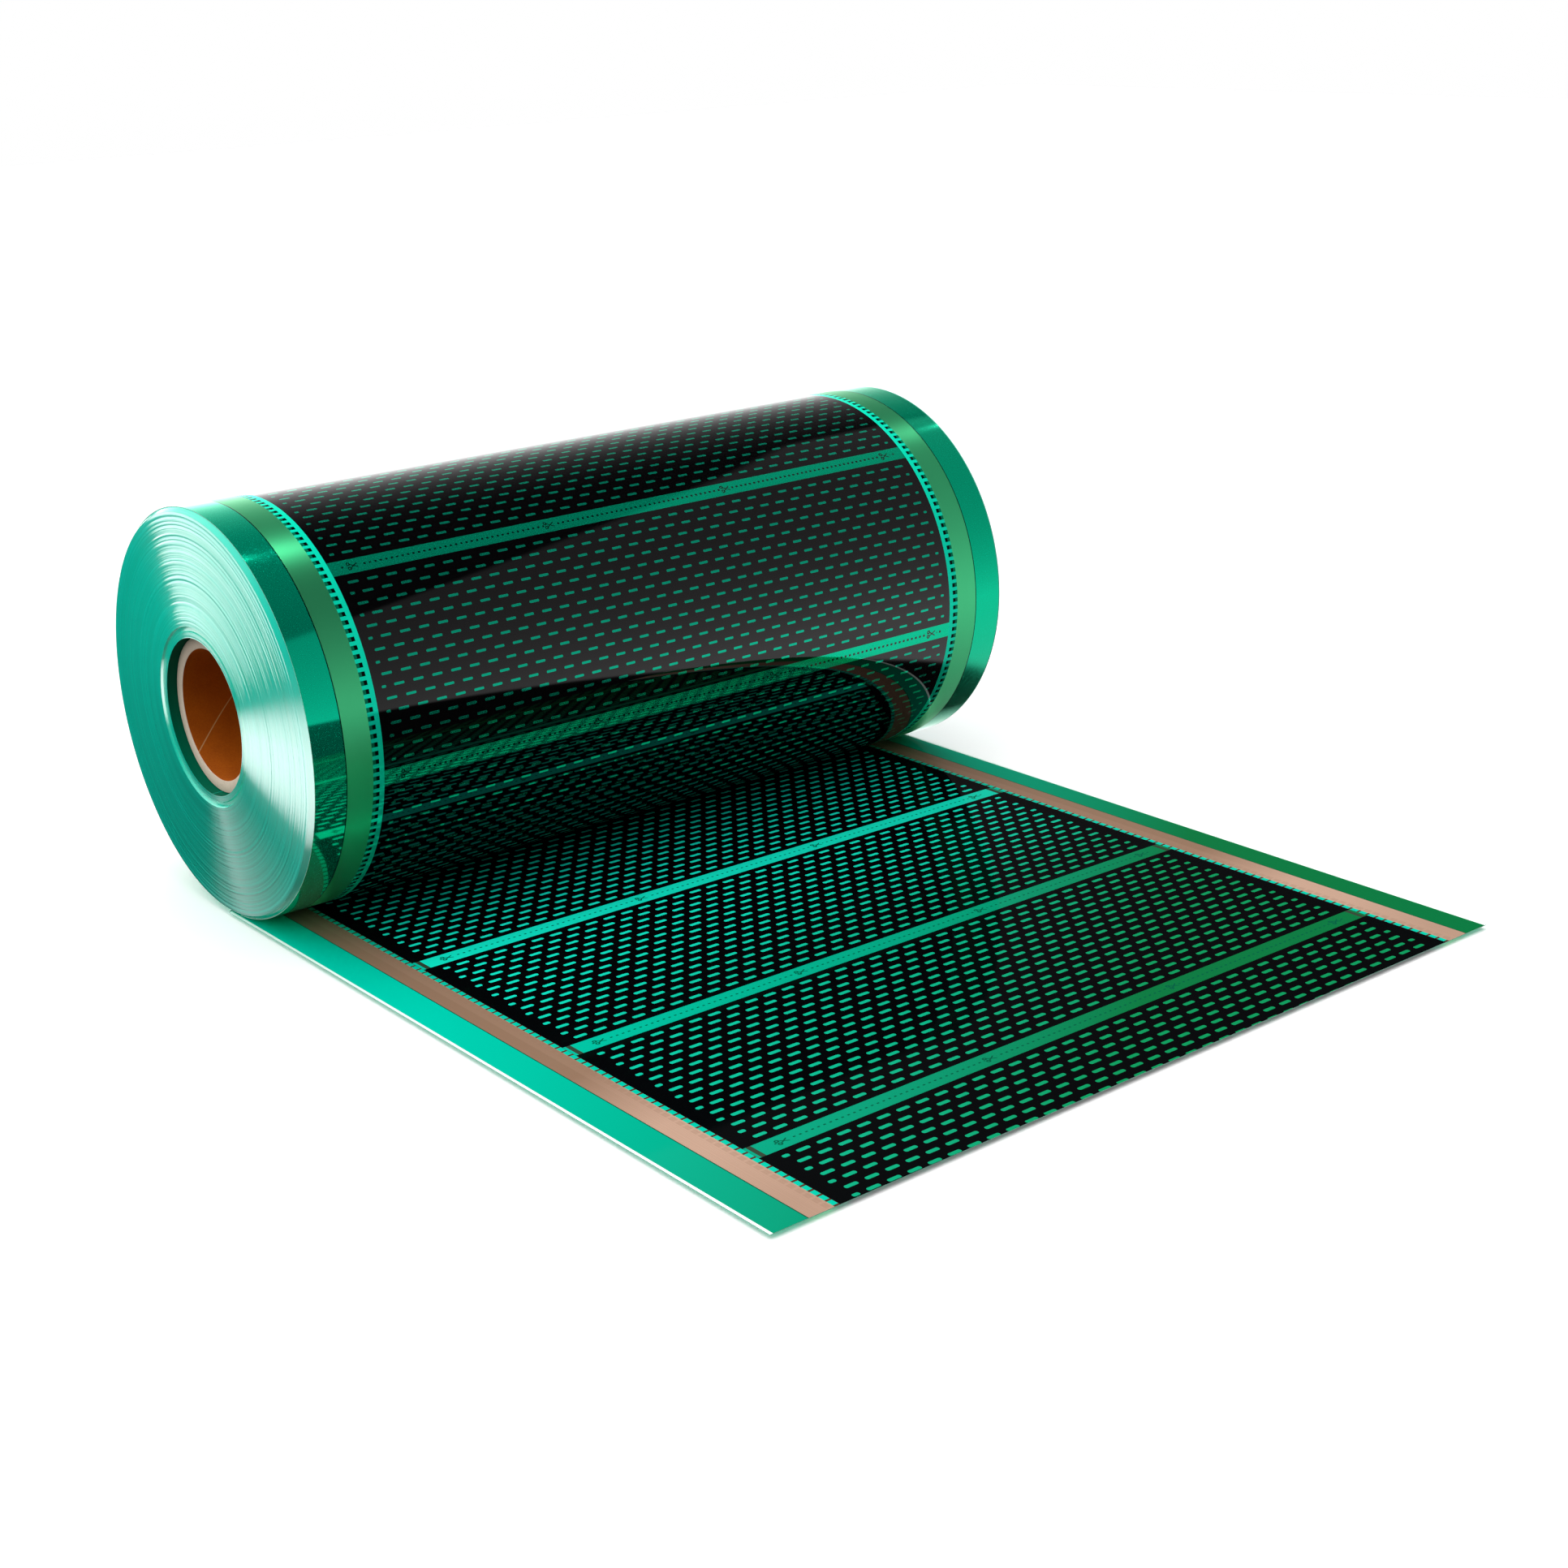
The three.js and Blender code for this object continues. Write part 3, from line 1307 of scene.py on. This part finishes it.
@dataclass(frozen=True)
class Surround:
    """White for the eye, a soft overhead glow for diffuse light, and cards for the gloss."""

    glow: float = 2.75
    glow_from: tuple[float, float, float] = (-0.1, 0.25, 0.96)
    glow_base: float = 0.1
    gloom: float = 0.012
    card: FrontCard = FrontCard()
    backdrop: Backdrop = Backdrop()
    sight: tuple[float, float, float] = (-0.395, -0.875, 0.284)
    streak: float = 4.1
    streak_least: float = 0.13
    streak_soft: float = 0.04
    wall_side: float = -0.03
    wall_soft: float = 0.02
    streak_tones: tuple[tuple[float, int], ...] = (
        (0, 2), (24, 2), (57, 2), (62, 18), (70, 46), (79, 100), (82.5, 74), (86, 106), (92, 104),
        (120, 78), (130, 48), (141, 18), (152, 26), (162, 66), (165, 142), (170, 208), (180, 242),
        (191, 242), (200, 222), (205, 172), (208, 70), (220, 36), (230, 60), (240, 82), (250, 106),
        (256, 121), (260, 112), (263, 78), (266, 74), (269, 40), (272, 12), (276, 2),
    )

    def build(self) -> None:
        """Make the world."""
        world = bpy.data.worlds.new("surround")
        world.use_nodes = True
        world.cycles.sampling_method = "NONE"
        bpy.context.scene.world = world
        board = Board.of_tree(world.node_tree)
        camera_ray = board.node("ShaderNodeLightPath", {}, {}, "Is Camera Ray")
        glossy_ray = board.node("ShaderNodeLightPath", {}, {}, "Is Glossy Ray")
        here = board.node("ShaderNodeTexCoord", {}, {}, "Generated")
        toward = board.parts(here)
        soft = (1 - glossy_ray) * (1 - camera_ray) * self.overhead(toward)
        sharp = glossy_ray * (1 - camera_ray)
        strength = camera_ray + soft + sharp * self.mirrored(board, toward)
        light = board.node("ShaderNodeBackground", {}, {"Color": (1.0, 1.0, 1.0), "Strength": strength})
        out = board.tree.nodes.new("ShaderNodeOutputWorld")
        board.tree.links.new(light.socket, out.inputs["Surface"])

    def overhead(self, toward: Direction) -> Wire:
        """Brightness of the soft light, by direction."""
        source = Vector(self.glow_from).normalized()
        x, y, z = toward
        facing = (x * source.x + y * source.y + z * source.z).math("MAXIMUM", 0.0)
        return facing * facing * self.glow * z.above(0.0, 0.02) + self.glow_base

    def mirrored(self, board: Board, toward: Direction) -> Wire:
        """Brightness of the studio as glossy surfaces mirror it, by direction.

        Args:
            board: The world's nodes.
            toward: The direction.

        Returns:
            The brightness.
        """
        side_wall = self.streaks(board, toward) * toward[0].below(self.wall_side, self.wall_soft)
        return self.card.glow(toward) + self.backdrop.glow(toward) + side_wall + self.gloom

    def streaks(self, board: Board, toward: Direction) -> Wire:
        """Brightness of the side wall, which the leaning film edges mirror as spokes.

        Args:
            board: The world's nodes.
            toward: The direction.

        Returns:
            The brightness.
        """
        halfway = [axis + part for axis, part in zip(toward, self.sight)]
        turn = (halfway[2].math("ARCTAN2", halfway[1]) / math.tau).math("FRACT")
        stops = [(angle / 360, srgb(tone, tone, tone)) for angle, tone in self.streak_tones]
        spoke = board.node("ShaderNodeValToRGB", {"stops": stops}, {0: turn})
        spoke = board.node("ShaderNodeSeparateColor", {}, {0: spoke})
        spread = (halfway[1] * halfway[1] + halfway[2] * halfway[2]).math("SQRT")
        lean = spread / abs(halfway[0]).math("MAXIMUM", 0.01)
        return spoke * self.streak * lean.above(self.streak_least, self.streak_soft)


@dataclass(frozen=True)
class Studio:
    """Pale floor, soft lights and a white surround."""

    floor_size: float = 12.0
    floor_drop: float = 2.4 * MM
    floor_tone: float = 0.85
    floor_glow: float = 0.1
    lamps: tuple[Lamp, ...] = (
        Lamp("soft_left", (-2.0, -0.2, 0.9), (-0.2, 0.15, 0.1), 1.2, 6.0),
        Lamp("soft_tail", (-0.1, -0.9, 0.9), (0.0, -0.08, 0.0), 0.5, 1.2),
        Lamp("glint_left", (0.325, 0.383, 1.546), (-0.221, 0.128, 0.219), 0.035, 1.0, True),
        Lamp("glint_right", (1.310, 0.400, 1.330), (0.223, 0.130, 0.220), 0.035, 0.4, True),
    )

    def build(self) -> None:
        """Make the floor, the lights and the surround."""
        self.floor()
        for lamp in self.lamps:
            lamp.build()
        Surround().build()
        settings = bpy.context.scene.view_settings
        settings.view_transform = "Standard"
        settings.look = "None"

    def floor(self) -> None:
        """A wide pale floor, a hair below the film so that its edges throw a fine shadow."""
        bpy.ops.object.select_all(action="DESELECT")
        bpy.ops.mesh.primitive_plane_add(size=self.floor_size, location=(0.0, 0.0, -self.floor_drop))
        floor = bpy.context.object
        floor.name = "floor"
        floor.visible_glossy = False
        floor.visible_diffuse = False
        board = Board("floor_paint")
        clean, worn = self.floor_tone, self.floor_tone * 0.99
        colour = board.mix(board.grain(40.0, 3.0), (clean, clean, clean), (worn, worn, worn))
        floor.data.materials.append(board.finish({
            "Base Color": colour,
            "Roughness": 0.9,
            "Emission Color": (1.0, 1.0, 1.0),
            "Emission Strength": self.floor_glow,
        }))


def film_prints() -> tuple[FilmPrint, FilmPrint]:
    """The two sides of the film.

    Returns:
        The inner side, which the unrolled end shows, and the outer side, which the roll shows.
    """
    inner = FilmPrint(
        side=Side.INNER,
        field=DashField(
            strip_pitch=145.0, strip_place=149.4, strip_half=6.0, first_row=12.05, row_pitch=8.06,
            dash_half=3.75, dash_rise=1.32, short_half=2.0, cut_half=0.72, cut_rise=0.5,
            dash_pitch=11.98, short_place=201.8, strip_reach=208.0, cut_pitch=3.6, scissors_pitch=129.0,
            skew=0.023, skew_change=0.0000272,
        ),
        bands=EdgeBands(
            rim=248.3, margin=230.4, copper_split=222.6, copper_end=215.6, teeth_end=212.6,
            carbon=212.4, tooth_pitch=5.84, tooth_half=2.15, tooth_reach=216.0, offset=1.5,
        ),
        inks=FilmInks(
            # the second green of each pair is the dim, grassy end of the painted reflection
            green=(0.0, 0.46, 0.325), green_far=(0.002, 0.13, 0.036), dash=(0.004, 0.52, 0.37),
            # the lighter copper is also the colour of the painted sheen
            dash_far=(0.003, 0.22, 0.075), copper=srgb(135, 106, 86), copper_pale_and_sheen=srgb(188, 154, 134),
            tooth=(0.0, 0.44, 0.30), tooth_foot=(0.0, 0.44, 0.30), tooth_gap=srgb(70, 46, 36),
            line=srgb(48, 28, 22), carbon=srgb(3, 4, 5), mark=srgb(2, 78, 56), stub=srgb(45, 60, 46),
            # the bright green on this line is painted light next to the roll, the dark green painted
            # shade on the wound film
            rim=srgb(222, 240, 232), near=(0.01, 0.9, 0.68), wound=srgb(0, 96, 70),
        ),
        # painted reflection: bright and bluish at the left and by the roll, dim and grassy towards the
        # right and the free end
        drift=Drift(start=-0.07, across=1 / 600, along=1 / 440),
        laminate=Laminate(
            green_metal=0.0, copper_metal=0.1, clear_roughness=0.4, hazy_roughness=0.5,
            copper_roughness=0.4, coat=0.08, coat_loss=0.0, gloss=0.05, line_metal=0.0,
        ),
        painted_sheen=PaintedSheen(),
    )
    outer = FilmPrint(
        side=Side.OUTER,
        field=DashField(
            strip_pitch=121.0, strip_place=-455.2, strip_half=4.6, first_row=9.95, row_pitch=6.74,
            dash_half=3.15, dash_rise=0.72, short_half=1.3, cut_half=0.82, cut_rise=0.7,
            dash_pitch=11.9, short_place=199.8, strip_reach=209.0, cut_pitch=3.42, scissors_pitch=127.6,
            skew=0.0186, skew_change=-0.0000248,
        ),
        bands=EdgeBands(
            rim=249.4, margin=228.8, copper_split=229.0, copper_end=212.75, teeth_end=208.85,
            carbon=205.95, tooth_pitch=4.84, tooth_half=1.3, tooth_reach=210.9, offset=0.5,
        ),
        inks=FilmInks(
            green=(0.0, 0.72, 0.41), green_far=(0.0, 0.62, 0.33), dash=(0.004, 0.56, 0.34),
            dash_far=(0.004, 0.54, 0.33), copper=srgb(80, 222, 150), copper_pale_and_sheen=srgb(96, 236, 166),
            tooth=srgb(4, 12, 10), tooth_foot=srgb(2, 120, 88), tooth_gap=(0.003, 0.92, 0.6),
            line=(0.004, 0.95, 0.62), carbon=srgb(4, 4, 5), mark=srgb(3, 24, 18), stub=srgb(2, 60, 44),
            rim=srgb(120, 200, 180),
        ),
        drift=Drift(start=0.5, across=1 / 600, along=0.0),
        laminate=Laminate(
            green_metal=0.82, copper_metal=0.88, clear_roughness=0.06, hazy_roughness=0.3,
            copper_roughness=0.32, coat=1.0, coat_loss=0.93, gloss=0.03, line_metal=0.35,
        ),
    )
    return inner, outer


def main() -> None:
    """Build the camera, the studio and each piece."""
    logging.basicConfig(level=logging.INFO, format="%(message)s")
    stock = stock_from_frame()
    Viewpoint().build()
    Studio().build()
    inner_print, outer_print = film_prints()
    inner = inner_print.material()
    outer = outer_print.material()
    cut_edge = CutEdge().material()
    turn_edges = TurnEdges(axis_y=stock.axis_y, axis_z=stock.roll_radius).material()
    paper = PaperTube(
        axis_y=stock.axis_y, axis_z=stock.roll_radius, middle_x=stock.core_x, length=stock.core_length,
    ).material()

    sheet = FilmSheet(stock).build([inner, outer, cut_edge])
    winding = Winding(stock).build([turn_edges, inner, outer])
    core = Core(stock).build([paper])
    for piece, node, slot in (
        (sheet, "heating_film", "film"),
        (winding, "heating_film", "film"),
        (core, "paper_core", "core_paper"),
    ):
        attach(piece, "root")
        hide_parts(node)
        log.info("%s: %d faces", piece.name, len(piece.data.polygons))


if __name__ == "__main__":
    main()
